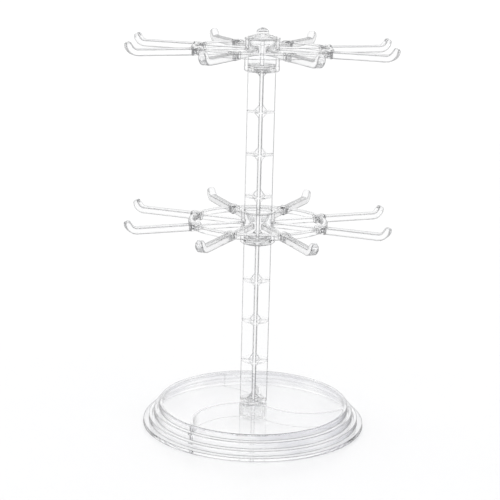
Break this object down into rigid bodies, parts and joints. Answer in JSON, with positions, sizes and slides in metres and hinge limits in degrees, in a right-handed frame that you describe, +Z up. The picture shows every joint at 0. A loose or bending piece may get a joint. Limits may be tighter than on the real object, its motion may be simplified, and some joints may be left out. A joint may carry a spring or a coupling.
{
  "type": "eyeglass display rack",
  "caption": "Clear counter rack that turns on a stepped round base: a cruciform post carries two tiers of radial hooks with upturned tips.",
  "frame": {"origin": "on the turning axis, at the underside of the base", "axes": "+Z up along the post; the post's fins lie along X and Y, and the hooks start 22.5 degrees from +X"},
  "size_m": [0.217, 0.217, 0.3384],
  "materials": {
    "clear_base": "clear polished moulding",
    "clear_post": "clear polished moulding",
    "clear_tier": "clear polished moulding",
    "clear_hook": "clear polished moulding",
    "clear_cap": "clear polished moulding",
    "bearing_clear": "natural translucent"
  },
  "bodies": {
    "base": {"base_shell": "clear_base", "pivot_bushing": "bearing_clear", "thrust_washer": "bearing_clear"},
    "rotor": {"post_lower": "clear_post", "post_upper": "clear_post", "spindle_retainer": "bearing_clear", "tier_lower": "clear_tier", "tier_upper": "clear_tier", "top_cap": "clear_cap", "hook_lower_1": "clear_hook", "hook_lower_2": "clear_hook", "hook_lower_3": "clear_hook", "hook_lower_4": "clear_hook", "hook_lower_5": "clear_hook", "hook_lower_6": "clear_hook", "hook_lower_7": "clear_hook", "hook_lower_8": "clear_hook", "hook_upper_1": "clear_hook", "hook_upper_2": "clear_hook", "hook_upper_3": "clear_hook", "hook_upper_4": "clear_hook", "hook_upper_5": "clear_hook", "hook_upper_6": "clear_hook", "hook_upper_7": "clear_hook", "hook_upper_8": "clear_hook"}
  },
  "joints": [
    {"name": "post_spin", "type": "hinge", "parent": "base", "child": "rotor", "pos_m": [0, 0, 0.018], "axis": [0, 0, 1], "continuous": true}
  ]
}
